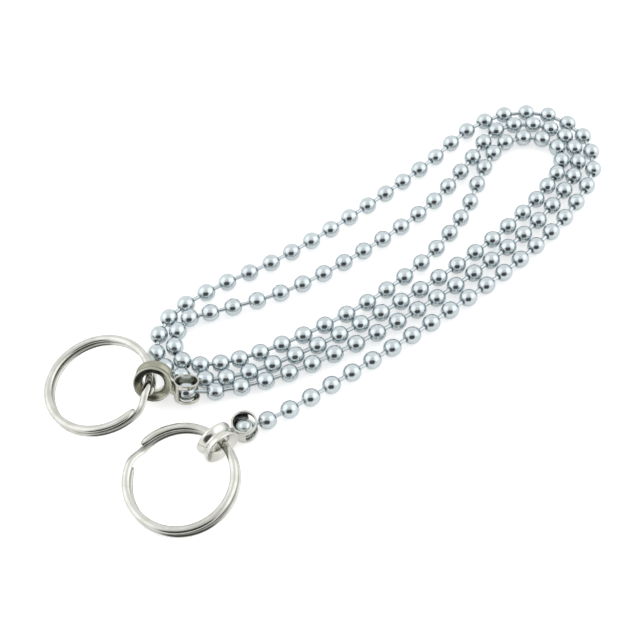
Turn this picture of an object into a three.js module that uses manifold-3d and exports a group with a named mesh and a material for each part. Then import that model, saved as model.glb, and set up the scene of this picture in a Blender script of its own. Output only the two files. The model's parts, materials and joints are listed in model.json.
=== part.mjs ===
// Roller blind chain: a ball chain with a sheet metal coupling and a split ring at each end,
// lying in loops on a flat surface. Millimetres, +Z up, the surface at z = 0.

import * as THREE from 'three';
import { mergeVertices } from 'three/addons/utils/BufferGeometryUtils.js';
import Module from 'manifold-3d';

// Ball chain
const beadRadius = 2.25;
const linkRadius = 0.6;
const beadsPerRun = 3;
const runGap = 0.3;
const shortestLink = 0.05;
const beadSides = 8;
const beadLatitude = Math.PI / 4;

// The way the chain lies: bead number, x, y. Bead 0 and the last one are held in the couplings.
const route = [
  [0, -52.6, 0.0], [1, -46.4, -3.1], [3, -34.5, -7.2], [6, -16.0, -10.0], [10, 9.1, -10.5],
  [14, 34.4, -8.3], [17, 53.0, -4.7], [19, 65.4, -0.4], [21, 75.0, 5.4], [22, 77.4, 9.9],
  [23, 77.9, 14.6], [25, 73.1, 23.1], [27, 63.0, 27.0], [29, 51.5, 22.6], [32, 33.5, 16.0],
  [36, 8.0, 12.5], [40, -17.5, 13.0], [43, -35.8, 17.6], [44, -41.0, 19.1], [45, -45.5, 17.3],
  [46, -48.4, 13.7], [47, -48.8, 9.0], [48, -45.7, 5.5], [49, -41.2, 3.2], [50, -36.6, 1.7],
  [53, -19.5, -1.0], [57, 6.0, -1.1], [61, 30.5, 4.8], [63, 41.5, 10.3], [65, 52.0, 17.9],
  [67, 62.5, 22.0], [69, 71.9, 17.4], [70, 73.5, 12.6], [71, 71.4, 8.2], [73, 62.5, 3.3],
  [76, 45.0, -1.8], [80, 19.6, -5.3], [84, -5.5, -6.1], [88, -30.5, -4.1], [90, -42.2, -1.25],
  [91, -46.8, 1.2], [92, -51.3, 5.2], [93, -53.4, 9.7], [94, -53.2, 14.4], [95, -50.0, 18.9],
  [96, -45.4, 22.0], [98, -33.5, 23.6], [101, -14.5, 22.5], [106, 17.5, 24.5], [110, 43.0, 28.4],
  [112, 56.0, 31.4], [114, 68.5, 30.5], [116, 79.0, 23.5], [118, 82.3, 12.0], [120, 76.9, 1.1],
  [122, 65.6, -5.4], [126, 41.0, -12.2], [130, 16.0, -15.1], [136, -21.5, -17.0], [138, -33.8, -17.2],
  [139, -39.9, -16.8], [140, -45.6, -15.6],
];

// Couplings: a cup round the last bead, and an eye that stands across the end of the chain
const cupInnerRadius = 2.7;
const cupOuterRadius = 3.2;
const cupFloorHoleRadius = 1.7;
const cupFloorThickness = 0.4;
const cupBottom = -2.25;
const cupTop = 3.15;
const cupEdge = 0.3;
const cupFloorBend = 0.4;
const slotBottom = -1.15;
const slotTop = 2.0;
const slotStart = THREE.MathUtils.degToRad(-122);
const slotEnd = THREE.MathUtils.degToRad(30);
const eyeReach = 8.0;
const eyeHeight = 2.55;
const eyeOuterRadius = 4.8;
const eyeBoreRadius = 2.6;
const eyeMouthRadius = 4.1;
const eyeWidth = 4.0;
const eyeEdge = 0.5;
const eyeGroove = 0.8;
const neckWidth = 2.2;
const neckAtCup = { x: -2.8, low: -1.6, high: 3.0 };
const neckAtEye = { x: -4.9, low: 0.1, high: 5.2 };
const turnSegments = 24;

// Split rings: a flat wire coiled twice round, one turn on the other, with a crank between them
const ringRadius = 12.85;
const wireWidth = 2.3;
const wireHeight = 1.15;
const wireBevel = 0.35;
const turnGap = 0.1;
const crankHalfAngle = THREE.MathUtils.degToRad(9);
const crankSteps = 4;
const ringSteps = 30;
const restGap = 0.05;

// Where the couplings and the rings lie. Headings, leans and cranks are in degrees.
const layoutA = {
  beadHeight: 3.65,
  heading: -36,
  lean: 29,
  ringHeading: -34.5,
  ringDrop: 0.05,
  ringPull: 0.75,
  crankAt: -27,
};
const layoutB = {
  beadHeight: 2.3,
  heading: 7.5,
  lean: 0,
  ringHeading: 13.5,
  ringDrop: 0.45,
  ringPull: -0.8,
  crankAt: 98,
};

// The middle of the layout as listed, brought to the origin when the beads are placed.
const middle = { x: 0.6, y: 0.19 };

const chromeFinish = { color: 0xc9d2d8, roughness: 0.12, metalness: 1 };
const nickelFinish = { color: 0xcfcdc4, roughness: 0.16, metalness: 1 };

const wasm = await Module();
wasm.setup();

const rad = THREE.MathUtils.degToRad;

function toSolid(geometry) {
  const bare = geometry.clone();
  bare.deleteAttribute('normal');
  bare.deleteAttribute('uv');
  const merged = mergeVertices(bare, 1e-4);
  const vertProperties = new Float32Array(merged.attributes.position.array);
  const triVerts = new Uint32Array(merged.index.array);
  return new wasm.Manifold(new wasm.Mesh({ numProp: 3, vertProperties, triVerts }));
}

function toGeometry(solid) {
  const mesh = solid.getMesh();
  const geometry = new THREE.BufferGeometry();
  geometry.setAttribute('position', new THREE.BufferAttribute(mesh.vertProperties, 3));
  geometry.setIndex(new THREE.BufferAttribute(mesh.triVerts, 1));
  return geometry;
}

// A closed skin over a row of rings of points, each ring running anticlockwise seen from the
// far end of the row.
function skin(rings) {
  const sides = rings[0].length;
  const positions = rings.flat().flatMap((point) => point.toArray());
  const indices = [];
  for (let ring = 0; ring < rings.length - 1; ring++) {
    for (let side = 0; side < sides; side++) {
      const next = (side + 1) % sides;
      const a = ring * sides + side;
      const b = ring * sides + next;
      indices.push(a, b, b + sides);
      indices.push(a, b + sides, a + sides);
    }
  }
  const last = (rings.length - 1) * sides;
  for (let side = 1; side < sides - 1; side++) {
    indices.push(0, side + 1, side);
    indices.push(last, last + side, last + side + 1);
  }
  const geometry = new THREE.BufferGeometry();
  geometry.setAttribute('position', new THREE.Float32BufferAttribute(positions, 3));
  geometry.setIndex(indices);
  return geometry;
}

// The slope of the route at each listed point, from the stretches before and after it.
function routeSlopes() {
  const stretches = route.slice(1).map((point, i) => {
    const span = point[0] - route[i][0];
    return { span, x: (point[1] - route[i][1]) / span, y: (point[2] - route[i][2]) / span };
  });
  return route.map((_, i) => {
    const before = stretches[Math.max(i - 1, 0)];
    const after = stretches[Math.min(i, stretches.length - 1)];
    const weight = after.span / (before.span + after.span);
    return {
      x: before.x * weight + after.x * (1 - weight),
      y: before.y * weight + after.y * (1 - weight),
    };
  });
}

// The centre of every bead, on a smooth curve through the listed points.
function beadCentres() {
  const slopes = routeSlopes();
  const centres = [];
  for (let i = 0; i < route.length - 1; i++) {
    const [startBead, startX, startY] = route[i];
    const [endBead, endX, endY] = route[i + 1];
    const span = endBead - startBead;
    for (let bead = startBead; bead < endBead; bead++) {
      const t = (bead - startBead) / span;
      const startWeight = 2 * t ** 3 - 3 * t ** 2 + 1;
      const startPull = (t ** 3 - 2 * t ** 2 + t) * span;
      const endPull = (t ** 3 - t ** 2) * span;
      const x = startWeight * startX + (1 - startWeight) * endX;
      const y = startWeight * startY + (1 - startWeight) * endY;
      centres.push(new THREE.Vector3(
        x + startPull * slopes[i].x + endPull * slopes[i + 1].x - middle.x,
        y + startPull * slopes[i].y + endPull * slopes[i + 1].y - middle.y,
        beadRadius,
      ));
    }
  }
  const [, lastX, lastY] = route[route.length - 1];
  centres.push(new THREE.Vector3(lastX - middle.x, lastY - middle.y, layoutB.beadHeight));
  centres[0].z = layoutA.beadHeight;
  return centres;
}

// One ring of points round a line through centre.
function ringOfPoints(centre, along, distance, radius) {
  const side = new THREE.Vector3(-along.y, along.x, 0).normalize();
  const up = new THREE.Vector3().crossVectors(along, side);
  const points = [];
  for (let i = 0; i < beadSides; i++) {
    const angle = (2 * Math.PI * i) / beadSides;
    points.push(centre.clone()
      .addScaledVector(along, distance)
      .addScaledVector(side, radius * Math.cos(angle))
      .addScaledVector(up, radius * Math.sin(angle)));
  }
  return points;
}

// A few beads, each with the link that leaves it. The last link stops just short of the next run.
function chainRun(centres, first, last) {
  const rings = [];
  const neck = Math.sqrt(beadRadius ** 2 - linkRadius ** 2);
  const latitudeOffset = beadRadius * Math.sin(beadLatitude);
  const latitudeRadius = beadRadius * Math.cos(beadLatitude);
  for (let bead = first; bead <= last; bead++) {
    const centre = centres[bead];
    const toNext = centres[bead + 1]?.clone().sub(centre);
    const fromLast = centres[bead - 1] ? centre.clone().sub(centres[bead - 1]) : toNext;
    const arriving = fromLast.clone().normalize();
    const leaving = (toNext ?? fromLast).clone().normalize();
    const halfway = arriving.clone().add(leaving).normalize();
    rings.push(ringOfPoints(centre, arriving, -neck, linkRadius));
    rings.push(ringOfPoints(centre, arriving, -latitudeOffset, latitudeRadius));
    rings.push(ringOfPoints(centre, halfway, 0, beadRadius));
    rings.push(ringOfPoints(centre, leaving, latitudeOffset, latitudeRadius));
    rings.push(ringOfPoints(centre, leaving, neck, linkRadius));
    if (bead === last && toNext) {
      const linkEnd = Math.max(toNext.length() - neck - runGap, neck + shortestLink);
      rings.push(ringOfPoints(centre, leaving, linkEnd, linkRadius));
    }
  }
  return skin(rings);
}

// A profile of [radius, height] points turned round the Z axis.
function turned(profile) {
  const points = profile.map(([radius, height]) => new THREE.Vector2(radius, height));
  const geometry = new THREE.LatheGeometry([...points, points[0].clone()], turnSegments);
  return geometry.rotateX(Math.PI / 2);
}

function cupSolid() {
  const wall = toSolid(turned([
    [cupFloorHoleRadius, cupBottom],
    [cupOuterRadius - cupEdge, cupBottom],
    [cupOuterRadius, cupBottom + cupEdge],
    [cupOuterRadius, cupTop],
    [cupInnerRadius, cupTop],
    [cupInnerRadius, cupBottom + cupFloorThickness + cupFloorBend],
    [cupInnerRadius - cupFloorBend, cupBottom + cupFloorThickness],
    [cupFloorHoleRadius, cupBottom + cupFloorThickness],
  ]));
  const reach = cupOuterRadius * 2;
  const sector = new THREE.Shape();
  sector.moveTo(0, 0);
  sector.lineTo(reach * Math.cos(slotStart), reach * Math.sin(slotStart));
  sector.absarc(0, 0, reach, slotStart, slotEnd, false);
  sector.closePath();
  const slot = new THREE.ExtrudeGeometry(sector, {
    depth: slotTop - slotBottom, bevelEnabled: false, curveSegments: 12,
  });
  slot.translate(0, 0, slotBottom);
  return wall.subtract(toSolid(slot));
}

// The eye stands on edge, its bore along Y, with flared mouths and a shallow groove outside.
function eyeSolid() {
  const half = eyeWidth / 2;
  const edge = eyeEdge;
  const eye = turned([
    [eyeBoreRadius, -edge],
    [eyeMouthRadius, -half],
    [eyeOuterRadius - edge, -half],
    [eyeOuterRadius, -half + edge],
    [eyeOuterRadius, -edge],
    [eyeOuterRadius - eyeGroove, 0],
    [eyeOuterRadius, edge],
    [eyeOuterRadius, half - edge],
    [eyeOuterRadius - edge, half],
    [eyeMouthRadius, half],
    [eyeBoreRadius, edge],
  ]);
  eye.rotateX(Math.PI / 2);
  eye.translate(-eyeReach, 0, eyeHeight);
  return toSolid(eye);
}

// The web that joins the cup to the eye, wider at the eye.
function neckSolid() {
  const web = new THREE.Shape();
  web.moveTo(neckAtCup.x, neckAtCup.low);
  web.lineTo(neckAtCup.x, neckAtCup.high);
  web.lineTo(neckAtEye.x, neckAtEye.high);
  web.lineTo(neckAtEye.x, neckAtEye.low);
  web.closePath();
  const neck = new THREE.ExtrudeGeometry(web, { depth: neckWidth, bevelEnabled: false });
  neck.rotateX(Math.PI / 2);
  neck.translate(0, neckWidth / 2, 0);
  return toSolid(neck);
}

function couplingGeometry() {
  return toGeometry(cupSolid().add(eyeSolid()).add(neckSolid()));
}

// The corners of the flat wire's section, as offsets outwards and upwards.
function wireSection() {
  const w = wireWidth / 2;
  const h = wireHeight / 2;
  const b = wireBevel;
  return [
    [w, h - b], [w - b, h], [b - w, h], [-w, h - b],
    [-w, b - h], [b - w, -h], [w - b, -h], [w, b - h],
  ];
}

// The upper turn starts over the crank, runs clockwise, steps down through the crank and ends
// below its start. The ring's centre is the origin and its eye end lies along +X.
function splitRingGeometry(crankAt) {
  const level = (wireHeight + turnGap) / 2;
  const section = wireSection();
  const fullTurn = 2 * Math.PI;
  const sweep = 2 * fullTurn - 2 * crankHalfAngle;
  const turns = [0, fullTurn - 2 * crankHalfAngle, fullTurn, sweep];
  const heights = [level, level, -level, -level];
  const angles = [];
  for (let part = 0; part < 3; part++) {
    const span = turns[part + 1] - turns[part];
    const steps = part === 1 ? crankSteps : ringSteps;
    for (let i = 0; i < steps; i++) {
      const t = i / steps;
      const ease = t * t * (3 - 2 * t);
      angles.push([turns[part] + span * t, heights[part] + (heights[part + 1] - heights[part]) * ease]);
    }
  }
  angles.push([sweep, -level]);
  const rings = angles.map(([turn, height]) => {
    const angle = crankAt - crankHalfAngle - turn;
    return section.map(([out, rise]) => new THREE.Vector3(
      (ringRadius + out) * Math.cos(angle),
      (ringRadius + out) * Math.sin(angle),
      height + rise,
    ));
  });
  return skin(rings);
}

function named(name, geometry, finish) {
  const mesh = new THREE.Mesh(geometry, new THREE.MeshStandardMaterial(finish));
  mesh.name = name;
  return mesh;
}

// A coupling round its captive bead, turned to its heading and leaning on its side.
function placedCoupling(name, place, bead) {
  const coupling = named(name, couplingGeometry(), nickelFinish);
  coupling.rotation.set(-rad(place.lean), 0, 0);
  const holder = new THREE.Group();
  holder.add(coupling);
  holder.position.copy(bead);
  holder.rotation.z = rad(place.heading);
  return holder;
}

// A split ring hangs in its eye and lies with its far side on the surface.
function placedRing(name, place, coupling) {
  coupling.updateMatrixWorld(true);
  const eye = new THREE.Vector3(-eyeReach, 0, eyeHeight).applyMatrix4(coupling.children[0].matrixWorld);
  const held = eye.clone();
  held.z -= place.ringDrop;
  const halfStack = wireHeight + turnGap / 2;
  const reach = 2 * ringRadius + wireWidth / 2 + place.ringPull;
  const tilt = Math.asin((held.z - halfStack - restGap) / reach);
  const ring = named(name, splitRingGeometry(rad(place.crankAt)), nickelFinish);
  ring.position.x = -ringRadius;
  const holder = new THREE.Group();
  holder.add(ring);
  holder.position.copy(held);
  holder.rotation.set(0, -tilt, rad(place.ringHeading), 'ZYX');
  holder.translateX(-place.ringPull);
  return holder;
}

function build() {
  const group = new THREE.Group();
  const centres = beadCentres();
  const lastBead = centres.length - 1;
  let run = 1;
  for (let first = 0; first <= lastBead; first += beadsPerRun) {
    const last = Math.min(first + beadsPerRun - 1, lastBead);
    const name = `chain_run_${String(run).padStart(2, '0')}`;
    group.add(named(name, chainRun(centres, first, last), chromeFinish));
    run++;
  }
  const couplingA = placedCoupling('coupling_a', layoutA, centres[0]);
  const couplingB = placedCoupling('coupling_b', layoutB, centres[lastBead]);
  group.add(couplingA, couplingB);
  group.add(placedRing('split_ring_a', layoutA, couplingA));
  group.add(placedRing('split_ring_b', layoutB, couplingB));
  return group;
}

export default build();
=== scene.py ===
import json
import math
import bmesh
import bpy
from mathutils import Matrix, Vector

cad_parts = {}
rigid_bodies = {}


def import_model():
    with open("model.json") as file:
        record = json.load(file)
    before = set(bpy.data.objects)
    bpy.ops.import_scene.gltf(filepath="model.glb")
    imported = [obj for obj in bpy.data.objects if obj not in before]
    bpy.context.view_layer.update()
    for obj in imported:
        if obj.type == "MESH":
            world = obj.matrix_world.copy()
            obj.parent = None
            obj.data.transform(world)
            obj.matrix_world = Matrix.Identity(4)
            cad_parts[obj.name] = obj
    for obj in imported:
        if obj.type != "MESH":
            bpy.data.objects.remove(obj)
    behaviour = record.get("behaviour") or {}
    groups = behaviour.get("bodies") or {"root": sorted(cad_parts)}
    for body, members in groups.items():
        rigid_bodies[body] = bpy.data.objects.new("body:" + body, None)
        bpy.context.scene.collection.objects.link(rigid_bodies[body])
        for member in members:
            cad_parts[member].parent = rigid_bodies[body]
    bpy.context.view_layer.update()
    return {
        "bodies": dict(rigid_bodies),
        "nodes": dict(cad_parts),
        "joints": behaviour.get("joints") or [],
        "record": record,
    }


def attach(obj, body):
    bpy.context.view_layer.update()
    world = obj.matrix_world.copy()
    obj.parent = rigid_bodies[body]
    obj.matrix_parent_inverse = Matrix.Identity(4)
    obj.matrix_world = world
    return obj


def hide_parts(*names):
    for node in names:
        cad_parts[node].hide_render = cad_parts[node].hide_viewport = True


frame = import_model()
mm = 0.001
rad = math.radians

# The photograph: 640 by 640, seen from 57 degrees above the surface.
cameraValues = {
    "place": (-106.94, -142.65, 264.74),
    "pitch": 33.0,
    "heading": -33.0,
    "focalPixels": 1230.0,
    "pixels": 640.0,
    "sensor": 36.0,
}


def makeCamera(v):
    data = bpy.data.cameras.new("camera")
    data.sensor_fit = "HORIZONTAL"
    data.sensor_width = v["sensor"]
    data.lens = v["sensor"] * v["focalPixels"] / v["pixels"]
    data.clip_start = 0.01
    data.clip_end = 10.0
    cam = bpy.data.objects.new("camera", data)
    cam.location = Vector(v["place"]) * mm
    cam.rotation_euler = (rad(v["pitch"]), 0.0, rad(v["heading"]))
    bpy.context.scene.collection.objects.link(cam)
    bpy.context.scene.camera = cam


makeCamera(cameraValues)
print("camera")


# Shader maths on sockets.
class Sock:
    def __init__(self, tree, socket):
        self.tree = tree
        self.socket = socket

    def wire(self, target, value):
        if isinstance(value, Sock):
            self.tree.links.new(value.socket, target)
        elif isinstance(value, (tuple, list)) and len(value) == 3 and len(target.default_value) == 4:
            target.default_value = (*value, 1.0)
        else:
            target.default_value = value

    def node(self, kind, inputs=None, output=0, **settings):
        made = self.tree.nodes.new(kind)
        for key, value in settings.items():
            setattr(made, key, value)
        for key, value in (inputs or {}).items():
            self.wire(made.inputs[key], value)
        return Sock(self.tree, made.outputs[output])

    def maths(self, operation, *values):
        return self.node("ShaderNodeMath", dict(enumerate(values)), operation=operation)

    def __add__(self, other):
        return self.maths("ADD", self, other)

    def __radd__(self, other):
        return self.maths("ADD", other, self)

    def __sub__(self, other):
        return self.maths("SUBTRACT", self, other)

    def __rsub__(self, other):
        return self.maths("SUBTRACT", other, self)

    def __mul__(self, other):
        return self.maths("MULTIPLY", self, other)

    def __rmul__(self, other):
        return self.maths("MULTIPLY", other, self)

    def smooth(self, low, high):
        return self.node("ShaderNodeMapRange", {0: self, 1: low, 2: high}, interpolation_type="SMOOTHSTEP")

    def mixColour(self, first, second):
        return self.node("ShaderNodeMix", {0: self, 6: first, 7: second}, output=2, data_type="RGBA")

    def noise(self, coords, scale, detail):
        return self.node("ShaderNodeTexNoise", {"Vector": coords, "Scale": scale, "Detail": detail})


def newMaterial(name):
    material = bpy.data.materials.new(name)
    material.use_nodes = True
    tree = material.node_tree
    shader = tree.nodes["Principled BSDF"]
    return material, Sock(tree, None), shader


# Shared by the three plated finishes.
smudgeDetail = 4.0
grainDetail = 3.0
smudgeRange = (0.35, 0.7)
bumpDistance = 0.0001


# Bright plated metal: faint smudges, a fine scratched grain and dull places where the surface is worn. The
# same dark, dull mix also paints shade into holes, hollows and gaps.
def platedMetal(name, v):
    material, s, shader = newMaterial(name)
    coords = s.node("ShaderNodeTexCoord", output=3)
    smudge = s.noise(coords, v["smudgeScale"], smudgeDetail)
    grain = s.noise(coords, v["grainScale"], grainDetail)
    wear_and_shade = s.node("ShaderNodeAttribute", output=2, attribute_name="wear_and_shade")
    tone = s.node("ShaderNodeAttribute", output=2, attribute_name="tone")
    patch = smudge.smooth(*smudgeRange)
    base = patch.mixColour(v["colour"], v["smudgeColour"])
    base = (tone * v["toneShare"]).mixColour(base, v["toneColour"])
    # Painted shade: this dark mix also stands for the shade in holes, hollows and gaps.
    base = (wear_and_shade * v["wearShadeShare"]).mixColour(base, v["wearShadeColour"])
    s.wire(shader.inputs["Base Color"], base)
    rough = v["roughness"] + patch * v["smudgeRoughness"] + wear_and_shade * v["wearRoughness"]
    s.wire(shader.inputs["Roughness"], rough + grain * v["grainRoughness"])
    shader.inputs["Metallic"].default_value = 1.0
    height = grain * v["grainDepth"] + smudge * v["waveDepth"]
    bump = {"Height": height, "Strength": v["bumpStrength"], "Distance": bumpDistance}
    s.wire(shader.inputs["Normal"], s.node("ShaderNodeBump", bump))
    material.diffuse_color = (*v["colour"], 1.0)
    return material


chainFinish = platedMetal("chain_chrome", {
    "colour": (0.655, 0.717, 0.736),
    "smudgeColour": (0.60, 0.661, 0.68),
    "toneColour": (0.54, 0.585, 0.61),
    "toneShare": 0.35,
    "wearShadeColour": (0.17, 0.19, 0.20),
    "wearShadeShare": 0.6,
    "smudgeScale": 900.0,
    "grainScale": 5200.0,
    "roughness": 0.1,
    "smudgeRoughness": 0.05,
    "wearRoughness": 0.25,
    "grainRoughness": 0.05,
    "grainDepth": 0.25,
    "waveDepth": 0.5,
    "bumpStrength": 0.12,
})

couplingFinish = platedMetal("coupling_nickel", {
    "colour": (0.78, 0.77, 0.73),
    "smudgeColour": (0.70, 0.69, 0.63),
    "toneColour": (0.33, 0.325, 0.245),
    "toneShare": 0.9,
    "wearShadeColour": (0.035, 0.035, 0.03),
    "wearShadeShare": 0.95,
    "smudgeScale": 520.0,
    "grainScale": 4200.0,
    "roughness": 0.07,
    "smudgeRoughness": 0.06,
    "wearRoughness": 0.1,
    "grainRoughness": 0.06,
    "grainDepth": 0.3,
    "waveDepth": 0.8,
    "bumpStrength": 0.2,
})

ringFinish = platedMetal("ring_nickel", {
    "colour": (0.735, 0.73, 0.69),
    "smudgeColour": (0.625, 0.62, 0.57),
    "toneColour": (0.50, 0.49, 0.44),
    "toneShare": 0.4,
    "wearShadeColour": (0.12, 0.12, 0.10),
    "wearShadeShare": 0.85,
    "smudgeScale": 300.0,
    "grainScale": 3600.0,
    "roughness": 0.045,
    "smudgeRoughness": 0.04,
    "wearRoughness": 0.2,
    "grainRoughness": 0.04,
    "grainDepth": 0.3,
    "waveDepth": 0.7,
    "bumpStrength": 0.15,
})
print("materials")


# The operators leave the faces and edges in no fixed order, so they are sorted by their vertices.
def sortParts(bm):
    bm.verts.index_update()
    count = float(len(bm.verts))

    def order(part):
        first, second, third = (sorted(vert.index for vert in part.verts) + [0])[:3]
        return (first * count + second) * count + third

    for parts in (bm.edges, bm.faces):
        parts.sort(key=order)
        parts.index_update()


# A finished piece from a bmesh with its two attributes.
def makePiece(name, bm, finish, body, nodes, levels):
    bmesh.ops.recalc_face_normals(bm, faces=bm.faces)
    sortParts(bm)
    for face in bm.faces:
        face.smooth = True
    mesh = bpy.data.meshes.new(name)
    bm.to_mesh(mesh)
    bm.free()
    piece = bpy.data.objects.new(name, mesh)
    bpy.context.scene.collection.objects.link(piece)
    mesh.materials.append(finish)
    if levels:
        modifier = piece.modifiers.new("subdivision", "SUBSURF")
        modifier.levels = levels
        modifier.render_levels = levels
    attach(piece, body)
    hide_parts(*nodes)
    return piece


# The two attributes that the finishes read: wear and painted shade, which darkens and dulls, and tone, which
# tints.
def addLayers(bm):
    layers = bm.verts.layers.float
    return [layers.get(key) or layers.new(key) for key in ("wear_and_shade", "tone")]


# Vertices and edges along a line of points, open or closed, with the wear and painted shade of each point.
def addProfile(bm, points, wearShades, tone, closed=False):
    wearShadeLayer, toneLayer = addLayers(bm)
    verts = [bm.verts.new(point) for point in points]
    for vert, wear_and_shade in zip(verts, wearShades):
        vert[wearShadeLayer] = wear_and_shade
        vert[toneLayer] = tone
    ends = verts[1:] + verts[:1] if closed else verts[1:]
    return verts + [bm.edges.new(pair) for pair in zip(verts, ends)]


# One full turn of a profile, closed where it meets its start.
def spinRound(bm, profile, centre, axis, steps):
    bmesh.ops.spin(
        bm, geom=profile, cent=centre, axis=axis, dvec=(0.0, 0.0, 0.0), angle=2.0 * math.pi,
        steps=steps, use_merge=True, use_duplicate=False,
    )


# A closed section pulled through a row of frames, and shut at both ends.
# Gives the rows of vertices and the two end faces.
def sweepSection(bm, section, frames):
    edges = list(dict.fromkeys(edge for vert in section for edge in vert.link_edges))
    ends = [edges]
    bmesh.ops.transform(bm, matrix=frames[0], verts=section)
    rows = [section]
    for before, after in zip(frames, frames[1:]):
        pulled = bmesh.ops.extrude_edge_only(bm, edges=edges)["geom"]
        verts = [part for part in pulled if isinstance(part, bmesh.types.BMVert)]
        edges = [part for part in pulled if isinstance(part, bmesh.types.BMEdge)]
        bmesh.ops.transform(bm, matrix=after @ before.inverted(), verts=verts)
        rows.append(verts)
    ends.append(edges)
    caps = [bmesh.ops.contextual_create(bm, geom=end)["faces"][0] for end in ends]
    return rows, caps


# A round section of radius 1, squared off where the power is above 2.
def addSection(bm, sides, power):
    section = bmesh.ops.create_circle(bm, segments=sides, radius=1.0, cap_ends=False)["verts"]
    for vert in section:
        share = abs(vert.co.x) ** power + abs(vert.co.y) ** power
        vert.co *= share ** (-1.0 / power)
    return section


# The frame of a section: its X and Y lie along side and up, and its Z looks along the way.
def frameAt(place, side, up, along, width=1.0, height=1.0):
    columns = [side * width, up * height, along]
    frame = Matrix([[column[k] for column in columns] for k in range(3)]).to_4x4()
    frame.translation = place
    return frame


# The chain's way, as in the CAD source: bead number, x, y in millimetres.
route = [
    (0, -52.6, 0.0), (1, -46.4, -3.1), (3, -34.5, -7.2), (6, -16.0, -10.0), (10, 9.1, -10.5),
    (14, 34.4, -8.3), (17, 53.0, -4.7), (19, 65.4, -0.4), (21, 75.0, 5.4), (22, 77.4, 9.9),
    (23, 77.9, 14.6), (25, 73.1, 23.1), (27, 63.0, 27.0), (29, 51.5, 22.6), (32, 33.5, 16.0),
    (36, 8.0, 12.5), (40, -17.5, 13.0), (43, -35.8, 17.6), (44, -41.0, 19.1), (45, -45.5, 17.3),
    (46, -48.4, 13.7), (47, -48.8, 9.0), (48, -45.7, 5.5), (49, -41.2, 3.2), (50, -36.6, 1.7),
    (53, -19.5, -1.0), (57, 6.0, -1.1), (61, 30.5, 4.8), (63, 41.5, 10.3), (65, 52.0, 17.9),
    (67, 62.5, 22.0), (69, 71.9, 17.4), (70, 73.5, 12.6), (71, 71.4, 8.2), (73, 62.5, 3.3),
    (76, 45.0, -1.8), (80, 19.6, -5.3), (84, -5.5, -6.1), (88, -30.5, -4.1), (90, -42.2, -1.25),
    (91, -46.8, 1.2), (92, -51.3, 5.2), (93, -53.4, 9.7), (94, -53.2, 14.4), (95, -50.0, 18.9),
    (96, -45.4, 22.0), (98, -33.5, 23.6), (101, -14.5, 22.5), (106, 17.5, 24.5), (110, 43.0, 28.4),
    (112, 56.0, 31.4), (114, 68.5, 30.5), (116, 79.0, 23.5), (118, 82.3, 12.0), (120, 76.9, 1.1),
    (122, 65.6, -5.4), (126, 41.0, -12.2), (130, 16.0, -15.1), (136, -21.5, -17.0), (138, -33.8, -17.2),
    (139, -39.9, -16.8), (140, -45.6, -15.6),
]
middle = (0.6, 0.19)
firstHeight = 3.65
lastHeight = 2.3

chainValues = {
    "beadRadius": 2.25,
    "beadSides": 10,
    "beadRows": (24.0, 50.0, 77.0, 103.0, 130.0, 156.0),
    "swell": 1.11,
    "lipRadius": 0.74,
    "lipDepth": 1.86,
    "lipWearShade": 0.35,
    "edgeWear": 0.06,
    "edgeFrom": 60.0,
    "linkRadius": 0.588,
    "linkSides": 8,
    "linkInside": 1.6,
    "linkEdge": 0.25,
    "linkRoundness": 2.0,
    "linkWearShades": (0.45, 0.2, 0.05, 0.2, 0.45),
    "beadsPerRun": 3,
    "levels": 2,
}


# The centre of every bead: a smooth curve through the route's points, even in bead numbers.
def beadCentres():
    slopes = []
    for i in range(len(route)):
        before = max(i - 1, 0)
        after = min(i, len(route) - 2)
        pair = []
        for k in (1, 2):
            spanBefore = route[before + 1][0] - route[before][0]
            spanAfter = route[after + 1][0] - route[after][0]
            slopeBefore = (route[before + 1][k] - route[before][k]) / spanBefore
            slopeAfter = (route[after + 1][k] - route[after][k]) / spanAfter
            weight = spanAfter / (spanBefore + spanAfter)
            pair.append(slopeBefore * weight + slopeAfter * (1.0 - weight))
        slopes.append(pair)
    centres = []
    for i in range(len(route) - 1):
        span = route[i + 1][0] - route[i][0]
        for bead in range(span):
            t = bead / span
            weight = 2 * t ** 3 - 3 * t ** 2 + 1
            pull = (t ** 3 - 2 * t ** 2 + t) * span
            pullEnd = (t ** 3 - t ** 2) * span
            place = []
            for k in (1, 2):
                value = weight * route[i][k] + (1 - weight) * route[i + 1][k]
                place.append(value + pull * slopes[i][k - 1] + pullEnd * slopes[i + 1][k - 1] - middle[k - 1])
            centres.append(Vector((*place, chainValues["beadRadius"])))
    centres.append(Vector((route[-1][1] - middle[0], route[-1][2] - middle[1], lastHeight)))
    centres[0].z = firstHeight
    return centres


beads = beadCentres()


# Steady variation from bead to bead, the same on every run of the script.
def variation(number, salt):
    return math.modf(abs(math.sin(number * 12.9898 + salt * 78.233)) * 43758.5453)[0]


# Two directions square to the chain's way: level, and up.
def sideAndUp(along):
    side = Vector((-along.y, along.x, 0.0)).normalized()
    return side, along.cross(side)


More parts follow.
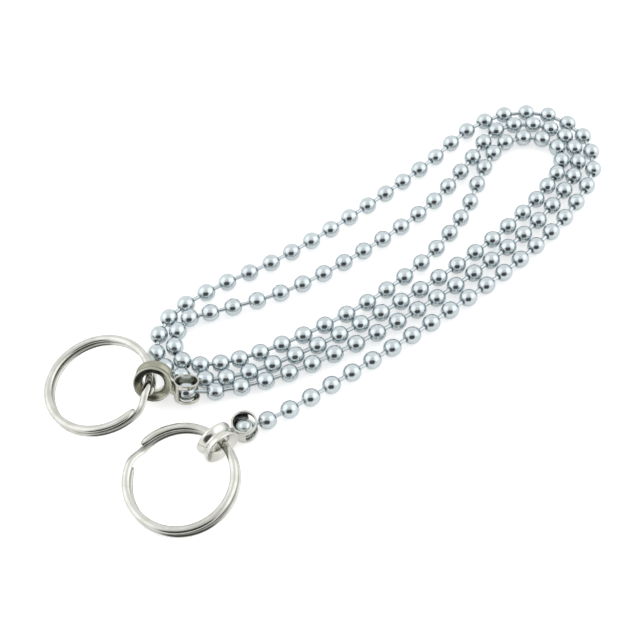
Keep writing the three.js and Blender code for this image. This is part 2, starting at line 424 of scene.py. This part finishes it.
# A bead is a thin ball, spun from its lip at one hole to its lip at the other.
def addBead(bm, v, number):
    centre = beads[number]
    ahead = beads[number + 1] - centre if number + 1 < len(beads) else centre - beads[number - 1]
    behind = centre - beads[number - 1] if number else ahead
    along = (ahead.normalized() + behind.normalized()).normalized()
    side, up = sideAndUp(along)
    turn = variation(number, 1) * math.pi
    out = side * math.cos(turn) + up * math.sin(turn)
    radius = v["beadRadius"] * v["swell"]
    # Painted shade: the lips inside the holes are painted dark.
    line = [(-v["lipDepth"], v["lipRadius"], v["lipWearShade"])]
    for degrees in v["beadRows"]:
        wear_and_shade = v["edgeWear"] if abs(degrees - 90.0) > v["edgeFrom"] else 0.0
        line.append((-radius * math.cos(rad(degrees)), radius * math.sin(rad(degrees)), wear_and_shade))
    line.append((v["lipDepth"], v["lipRadius"], v["lipWearShade"]))
    points = [(centre + along * distance + out * reach) * mm for distance, reach, wear_and_shade in line]
    profile = addProfile(bm, points, [wear_and_shade for distance, reach, wear_and_shade in line], variation(number, 2))
    spinRound(bm, profile, centre * mm, along, v["beadSides"])


# The link pin from a bead to the next, dulled and painted darker where it goes into them: painted shade at
# the bead holes.
def addLink(bm, v, number):
    centre = beads[number]
    toNext = beads[number + 1] - centre
    along = toNext.normalized()
    side, up = sideAndUp(along)
    start, edge = v["linkInside"], v["linkEdge"]
    end = toNext.length - start
    radius = v["linkRadius"] * mm
    frames = []
    for distance in (start, start + edge, toNext.length / 2.0, end - edge, end):
        frames.append(frameAt((centre + along * distance) * mm, side, up, along * mm, radius, radius))
    wearShadeLayer, toneLayer = addLayers(bm)
    section = addSection(bm, v["linkSides"], v["linkRoundness"])
    rows, caps = sweepSection(bm, section, frames)
    for row, wear_and_shade in zip(rows, v["linkWearShades"]):
        for vert in row:
            vert[wearShadeLayer] = wear_and_shade
            vert[toneLayer] = variation(number, 3)


# One piece for each chain node of the frame: three beads with the links that leave them.
def makeChain(v):
    for run, first in enumerate(range(0, len(beads), v["beadsPerRun"]), 1):
        bm = bmesh.new()
        for number in range(first, min(first + v["beadsPerRun"], len(beads))):
            addBead(bm, v, number)
            if number + 1 < len(beads):
                addLink(bm, v, number)
        name, node = f"run_{run:02d}", f"chain_run_{run:02d}"
        makePiece(name, bm, chainFinish, "chain", [node], v["levels"])


makeChain(chainValues)
print("chain")


# Where each coupling is, how it is tinted, and its painted shade: the side of its eye whose dish is painted
# dark, in degrees, and how strongly.
couplings = {
    "a": {
        "bead": 0, "heading": -36.0, "lean": 29.0,
        "tone": 1.0, "shade": 1.0, "shadeAt": 116.0, "shadeReach": 72.0,
    },
    "b": {
        "bead": 140, "heading": 7.5, "lean": 0.0,
        "tone": 0.0, "shade": 0.6, "shadeAt": 128.0, "shadeReach": 90.0,
    },
}


def couplingMatrix(place):
    moved = Matrix.Translation(beads[place["bead"]])
    turned = Matrix.Rotation(rad(place["heading"]), 4, "Z")
    return moved @ turned @ Matrix.Rotation(-rad(place["lean"]), 4, "X")


def makeCouplingPiece(kind, letter, bm, levels):
    bm.transform(Matrix.Scale(mm, 4) @ couplingMatrix(couplings[letter]))
    nodes = [f"coupling_{letter}"]
    return makePiece(f"{kind}_{letter}", bm, couplingFinish, "chain", nodes, levels)


cupValues = {
    "innerRadius": 2.7,
    "outerRadius": 3.2,
    "floorHole": 1.7,
    "floorThickness": 0.4,
    "bottom": -2.25,
    "top": 3.15,
    "corner": ((-0.55, 0.0), (-0.12, 0.14), (0.0, 0.6)),
    "slotLow": -1.15,
    "slotHigh": 2.0,
    "slotCorner": 1.05,
    "slotStart": -122.0,
    "slotEnd": 30.0,
    "rim": 0.55,
    "columns": 40,
    "wear_and_shade": 0.02,
    "edgeWear": 0.12,
    "tone": 0.3,
    "bevel": 0.12,
    "bevelAngle": 50.0,
}


# The cup is a bent sheet: a floor with a hole, a wall, and a slot through the wall for the chain.
def addCup(bm, v, tone):
    radius = (v["innerRadius"] + v["outerRadius"]) / 2.0
    low = v["bottom"] + v["floorThickness"] / 2.0
    slotLow, slotHigh, corner = v["slotLow"], v["slotHigh"], v["slotCorner"]
    line = [(v["floorHole"], low)] + [(radius + r, low + z) for r, z in v["corner"]]
    line += [(radius, z) for z in (slotLow, slotLow + corner, slotHigh - corner, slotHigh)]
    line += [(radius, slotHigh + v["rim"]), (radius, v["top"])]
    start = rad(v["slotStart"])
    points = [(r * math.cos(start), r * math.sin(start), z) for r, z in line]
    profile = addProfile(bm, points, [v["wear_and_shade"]] * len(line), tone)
    spinRound(bm, profile, (0.0, 0.0, 0.0), (0.0, 0.0, 1.0), v["columns"])
    opened = []
    for face in bm.faces:
        spot = face.calc_center_median()
        turn = (math.degrees(math.atan2(spot.y, spot.x)) - v["slotStart"]) % 360.0
        if turn < v["slotEnd"] - v["slotStart"] and slotLow < spot.z < slotHigh:
            opened.append(face)
    bmesh.ops.delete(bm, geom=opened, context="FACES")


def makeCup(letter, v):
    bm = bmesh.new()
    addCup(bm, v, v["tone"] * couplings[letter]["tone"])
    bmesh.ops.recalc_face_normals(bm, faces=bm.faces)
    wearShadeLayer = addLayers(bm)[0]
    for vert in bm.verts:
        if vert.is_boundary:
            vert[wearShadeLayer] = v["edgeWear"]
    piece = makeCouplingPiece("cup", letter, bm, 0)
    solid = piece.modifiers.new("sheet", "SOLIDIFY")
    solid.thickness = (v["outerRadius"] - v["innerRadius"]) * mm
    solid.offset = 0.0
    solid.use_even_offset = True
    bevel = piece.modifiers.new("edges", "BEVEL")
    bevel.width = v["bevel"] * mm
    bevel.segments = 2
    bevel.limit_method = "ANGLE"
    bevel.angle_limit = rad(v["bevelAngle"])
    smooth = piece.modifiers.new("subdivision", "SUBSURF")
    smooth.levels = 1
    smooth.render_levels = 1


eyeValues = {
    "reach": 8.0,
    "height": 2.55,
    "outer": 4.8,
    "bore": 2.6,
    "width": 4.0,
    "groove": 0.85,
    "columns": 48,
    "shadeFade": 18.0,
    "rimTone": 0.25,
    "rimDepth": (0.4, 0.15),
    "boreDepth": 0.1,
    "levels": 1,
}


# Half the eye's section, from the middle of the bore to the middle of the groove.
# Each point is its distance from the axis, its distance from the middle, and how dark its painted shade is.
def eyeProfile(v):
    outer, bore, half = v["outer"], v["bore"], v["width"] / 2.0
    return [
        (bore, 0.0, 0.0), (bore + 0.02, 0.65, 0.1),
        (bore + 0.2, 1.0, 0.8), (bore + 0.85, half - 0.62, 1.0), (outer - 0.5, half - 0.2, 1.0),  # the dish
        (outer - 0.28, half - 0.02, 0.015), (outer - 0.12, half, 0.0), (outer, half - 0.16, 0.0),  # the rim
        (outer - 0.02, half - 0.6, 0.015), (outer - 0.3, 0.55, 0.03), (outer - v["groove"], 0.0, 0.045),
    ]


# The eye is drawn in at its middle, with a dished mouth at each side. The dish is painted dark in its hollow
# on one side, as painted shade and dark reflection.
def makeEye(letter, v):
    place = couplings[letter]
    line = eyeProfile(v)
    line += [(r, -w, dishShade) for r, w, dishShade in reversed(line[1:-1])]
    centre = Vector((-v["reach"], 0.0, v["height"]))
    bm = bmesh.new()
    points = [centre + Vector((r, w, 0.0)) for r, w, dishShade in line]
    profile = addProfile(bm, points, [dishShade for r, w, dishShade in line], place["tone"], closed=True)
    spinRound(bm, profile, centre, (0.0, 1.0, 0.0), v["columns"])
    wearShadeLayer, toneLayer = addLayers(bm)
    rimIn, rimDown = v["rimDepth"]
    for vert in bm.verts:
        arm = vert.co - centre
        # Painted shade: the dish is darkened only on the side given by shadeAt.
        away = abs((math.degrees(math.atan2(arm.z, arm.x)) - place["shadeAt"] + 180.0) % 360.0 - 180.0)
        shaded = max(0.0, min(1.0, (place["shadeReach"] - away) / v["shadeFade"]))
        vert[wearShadeLayer] *= shaded * place["shade"]
        reach = math.hypot(arm.x, arm.z)
        onRim = reach > v["outer"] - rimIn and abs(arm.y) > v["width"] / 2.0 - rimDown
        if onRim or reach < v["bore"] + v["boreDepth"]:
            vert[toneLayer] *= v["rimTone"]
    makeCouplingPiece("eye", letter, bm, v["levels"])


# Each station of the neck is its place, low and high edge, half width and wear.
neckValues = {
    "stations": (
        (-2.62, -1.3, 3.15, 1.05, 0.2), (-3.1, -1.25, 3.4, 0.95, 0.1), (-3.6, -0.9, 3.95, 0.9, 0.05),
        (-4.2, -0.45, 4.6, 1.0, 0.05), (-4.75, 0.1, 5.1, 1.1, 0.12),
    ),
    "sides": 12,
    "roundness": 4.0,
    "tone": 0.6,
    "levels": 2,
}


# The neck is a folded web that spreads from the cup into the eye.
def makeNeck(letter, v):
    side, up, along = Vector((0.0, 1.0, 0.0)), Vector((0.0, 0.0, 1.0)), Vector((1.0, 0.0, 0.0))
    frames = []
    for x, low, high, halfWidth, wear_and_shade in v["stations"]:
        place = Vector((x, 0.0, (low + high) / 2.0))
        frames.append(frameAt(place, side, up, along, halfWidth, (high - low) / 2.0))
    bm = bmesh.new()
    wearShadeLayer, toneLayer = addLayers(bm)
    rows, caps = sweepSection(bm, addSection(bm, v["sides"], v["roundness"]), frames)
    for row, station in zip(rows, v["stations"]):
        for vert in row:
            vert[wearShadeLayer] = station[-1]
            vert[toneLayer] = v["tone"] * couplings[letter]["tone"]
    makeCouplingPiece("neck", letter, bm, v["levels"])


for letter in couplings:
    makeCup(letter, cupValues)
    makeEye(letter, eyeValues)
    makeNeck(letter, neckValues)
print("couplings")


ringValues = {
    "radius": 12.85,
    "solidWidth": 2.3,
    "wireWidth": 2.02,
    "wireHeight": 1.15,
    "wireRoundness": 1.55,
    "endTaper": 9.0,
    "endThickness": 0.45,
    "gapShade": 0.65,
    "gapShadeFrom": 0.4,
    "gapShadeSoft": 0.4,
    "endWear": 0.6,
    "endInset": 0.12,
    "wireWear": 0.05,
    "wireTone": 0.2,
    "wireSides": 16,
    "stagger": 0.36,
    "turnGap": 0.1,
    "crankHalfAngle": 12.0,
    "stepsPerTurn": 72,
    "crankSteps": 8,
    "restGap": 0.05,
    "levels": 1,
}
rings = {
    "a": {"heading": -34.5, "drop": 0.05, "pull": 0.75, "crankAt": -27.0, "staggerAt": -42.0},
    "b": {"heading": 13.5, "drop": 0.45, "pull": -0.8, "crankAt": 104.0, "staggerAt": -90.0},
}


# A ring hangs in its eye at one side, and leans down to the surface at the other.
def ringMatrix(letter, v):
    place = rings[letter]
    eye = couplingMatrix(couplings[letter]) @ Vector((-eyeValues["reach"], 0.0, eyeValues["height"]))
    held = eye - Vector((0.0, 0.0, place["drop"]))
    halfStack = v["wireHeight"] + v["turnGap"] / 2.0
    reach = 2.0 * v["radius"] + v["solidWidth"] / 2.0 + place["pull"]
    tilt = math.asin((held.z - halfStack - v["restGap"]) / reach)
    turned = Matrix.Rotation(rad(place["heading"]), 4, "Z") @ Matrix.Rotation(-tilt, 4, "Y")
    shift = Matrix.Translation((-place["pull"] - v["radius"], 0.0, 0.0))
    return Matrix.Translation(held) @ turned @ shift


# The wire's way: how far round, and how high. One turn lies on the other, with a crank between them.
def ringWay(v):
    half = rad(v["crankHalfAngle"])
    level = (v["wireHeight"] + v["turnGap"]) / 2.0
    full = 2.0 * math.pi
    total = 2.0 * full - 2.0 * half
    crank = full - 2.0 * half
    way = []
    for start, end, high, low, steps in (
        (0.0, crank, level, level, v["stepsPerTurn"]), (crank, full, level, -level, v["crankSteps"]),
        (full, total, -level, -level, v["stepsPerTurn"]),
    ):
        for i in range(steps):
            t = i / steps
            way.append((start + (end - start) * t, high + (low - high) * t * t * (3.0 - 2.0 * t)))
    way.append((total, -level))
    return way, level, total


# The two turns lie a little off centre from each other, as sprung wire does.
# They are dull where they face each other, and painted dark there as painted shade between the turns.
def makeRing(letter, v):
    place = rings[letter]
    aside = Vector((math.cos(rad(place["staggerAt"])), math.sin(rad(place["staggerAt"])), 0.0))
    up = Vector((0.0, 0.0, 1.0))
    way, level, total = ringWay(v)
    thickness = v["endThickness"]
    frames = []
    for turn, height in way:
        angle = rad(place["crankAt"] - v["crankHalfAngle"]) - turn
        nearEnd = math.degrees(min(turn, total - turn))
        thin = thickness + (1.0 - thickness) * min(nearEnd / v["endTaper"], 1.0) ** 0.5
        out = Vector((math.cos(angle), math.sin(angle), 0.0))
        spot = out * v["radius"] - aside * (v["stagger"] * height / level) + up * height
        width, depth = v["wireWidth"] / 2.0 * thin, v["wireHeight"] / 2.0 * thin
        frames.append(frameAt(spot, out, up, out.cross(up), width, depth))
    bm = bmesh.new()
    wearShadeLayer, toneLayer = addLayers(bm)
    rows, caps = sweepSection(bm, addSection(bm, v["wireSides"], v["wireRoundness"]), frames)
    for number, (row, (turn, height)) in enumerate(zip(rows, way)):
        least = v["endWear"] if number in (0, len(way) - 1) else v["wireWear"]
        for vert in row:
            # Painted shade: darker where the two turns face each other.
            facing = (height - vert.co.z) / (v["wireHeight"] / 2.0) * height / level
            gapShade = v["gapShade"] * min(max((facing - v["gapShadeFrom"]) / v["gapShadeSoft"], 0.0), 1.0)
            vert[wearShadeLayer] = max(gapShade, least)
            vert[toneLayer] = v["wireTone"]
    bmesh.ops.inset_region(bm, faces=caps, thickness=v["endInset"], depth=0.0)
    bm.transform(Matrix.Scale(mm, 4) @ ringMatrix(letter, v))
    name = f"ring_{letter}"
    makePiece(name, bm, ringFinish, name, [f"split_ring_{letter}"], v["levels"])


for letter in rings:
    makeRing(letter, ringValues)
print("rings")


# The floor is lifted to white for the camera, and mirrored in the metal as a paler one.
floorValues = {
    "size": 3.0,
    "colour": (0.80, 0.80, 0.80),
    "lift": 0.55,
    "mirrored": 0.28,
    "mottle": 0.985,
    "mottleScale": 6.0,
    "roughness": 0.9,
    "place": -0.0003,
}


def makeFloor(v):
    material, s, shader = newMaterial("floor_white")
    tree = material.node_tree
    coords = s.node("ShaderNodeTexCoord", output=3)
    noise = s.node("ShaderNodeTexNoise", {"Vector": coords, "Scale": v["mottleScale"]})
    darker = tuple(channel * v["mottle"] for channel in v["colour"])
    s.wire(shader.inputs["Base Color"], noise.mixColour(v["colour"], darker))
    shader.inputs["Roughness"].default_value = v["roughness"]
    isCamera = s.node("ShaderNodeLightPath", output=0)
    isGlossy = s.node("ShaderNodeLightPath", output=3)
    strength = isCamera * v["lift"] + isGlossy * v["mirrored"]
    glow = s.node("ShaderNodeEmission", {"Color": (1.0, 1.0, 1.0), "Strength": strength})
    both = s.node("ShaderNodeAddShader", {0: Sock(tree, shader.outputs[0]), 1: glow})
    s.wire(tree.nodes["Material Output"].inputs["Surface"], both)
    bm = bmesh.new()
    bmesh.ops.create_grid(bm, x_segments=2, y_segments=2, size=v["size"] / 2.0)
    mesh = bpy.data.meshes.new("floor")
    bm.to_mesh(mesh)
    bm.free()
    mesh.materials.append(material)
    floor = bpy.data.objects.new("floor", mesh)
    floor.location.z = v["place"]
    bpy.context.scene.collection.objects.link(floor)


makeFloor(floorValues)
print("floor")


# The studio: a pale tent with a bright panel at each side, a dimmer streak overhead and the dark
# opening that the camera looks through.
studioValues = {
    "colour": (0.985, 0.995, 1.0, 1.0),
    "tent": 1.02,
    "low": 0.98,
    "horizonSoft": 0.35,
    "panelGains": (0.42, 0.52),
    "panelTurn": 96.0,
    "panelHeight": 38.0,
    "panelSize": 27.0,
    "panelSoft": 13.0,
    "streak": 0.8,
    "streakHeight": 66.0,
    "streakSize": 26.0,
    "streakSoft": 10.0,
    "openingHeight": 34.0,
    "openingSize": 25.0,
    "openingSpread": 11.0,
    "openingSoft": 7.0,
    "opening": 0.08,
    "cameraAzimuth": 237.0,
}


def direction(azimuth, height):
    a, h = rad(azimuth), rad(height)
    return (math.cos(a) * math.cos(h), math.sin(a) * math.cos(h), math.sin(h))


def makeWorld(v):
    world = bpy.data.worlds.new("studio")
    bpy.context.scene.world = world
    world.use_nodes = True
    tree = world.node_tree
    s = Sock(tree, None)
    look = s.node("ShaderNodeTexCoord", output=0)

    def patch(azimuth, height, size, soft):
        ends = {0: look, 1: direction(azimuth, height)}
        dot = s.node("ShaderNodeVectorMath", ends, output=1, operation="DOT_PRODUCT")
        return dot.smooth(math.cos(rad(size + soft)), math.cos(rad(max(size - soft, 0.0))))

    apart = s.node("ShaderNodeSeparateXYZ", {0: look}, output=2)
    level = v["low"] + apart.smooth(0.0, v["horizonSoft"]) * (v["tent"] - v["low"])
    streak = patch(v["cameraAzimuth"], v["streakHeight"], v["streakSize"], v["streakSoft"])
    level = level - streak * (v["tent"] - v["streak"])
    for side, gain in zip((-1.0, 1.0), v["panelGains"]):
        turn = v["cameraAzimuth"] + side * v["panelTurn"]
        level = level + patch(turn, v["panelHeight"], v["panelSize"], v["panelSoft"]) * gain
    halves = []
    for side in (-1.0, 1.0):
        turn = v["cameraAzimuth"] + side * v["openingSpread"]
        halves.append(patch(turn, v["openingHeight"], v["openingSize"], v["openingSoft"]))
    hole = s.maths("MAXIMUM", *halves)
    level = level * (1.0 - hole) + hole * v["opening"]
    seen = s.node("ShaderNodeLightPath", output=0)
    strength = level * (1.0 - seen) + seen
    background = tree.nodes["Background"]
    background.inputs["Color"].default_value = v["colour"]
    s.wire(background.inputs["Strength"], strength)


makeWorld(studioValues)
bpy.context.scene.view_settings.view_transform = "Standard"
print("studio")
